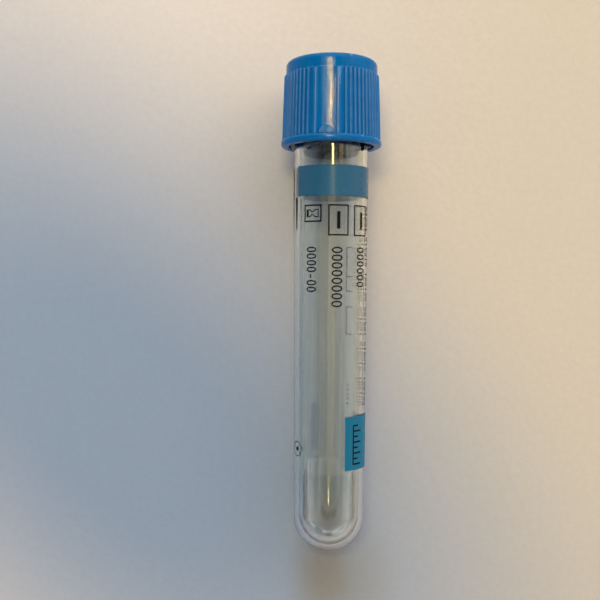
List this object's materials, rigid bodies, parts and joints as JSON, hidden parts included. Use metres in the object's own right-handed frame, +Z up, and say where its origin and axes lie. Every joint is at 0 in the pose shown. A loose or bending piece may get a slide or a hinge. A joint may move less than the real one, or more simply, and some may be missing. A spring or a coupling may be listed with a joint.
{
  "type": "blood collection tube",
  "caption": "Double-walled clear blood collection tube with a round base, a wrap-round printed film label, a small dose of liquid inside and a ribbed twist-off cap with a rubber stopper.",
  "frame": {"origin": "middle of the floor under the bounding box, with the tube lying at rest on its round base and its cap's flange", "axes": "+Y along the tube towards the cap (the tube's axis rises 2.3 degrees towards the cap), +Z up, +X to the tube's side"},
  "size_m": [0.0168, 0.0818, 0.0168],
  "materials": {
    "clear_outer": "clear, glossy",
    "clear_inner": "clear, slightly milky",
    "label_film": "clear film, printed in blue and black",
    "solution": "clear liquid",
    "rubber": "matt dark grey",
    "cap_blue": "glossy moulded",
    "ring_black": "satin moulded"
  },
  "bodies": {
    "tube": {"outer_tube": "clear_outer", "inner_tube": "clear_inner", "label": "label_film", "citrate_solution": "solution"},
    "plug": {"stopper": "rubber"},
    "closure": {"cap": "cap_blue", "cap_ring": "ring_black"}
  },
  "joints": [
    {"name": "stopper_lift", "type": "slide", "parent": "tube", "child": "plug", "axis": [0, 0.9992, 0.0404], "range_m": [0, 0.012]},
    {"name": "cap_twist", "type": "hinge", "parent": "plug", "child": "closure", "pos_m": [0, 0.03409, 0.00867], "axis": [0, 0.9992, 0.0404], "range_deg": [0, 360]}
  ],
  "couplings": [
    {"joint": "cap_twist", "follows": "stopper_lift", "rad_per_m": 523.6}
  ]
}
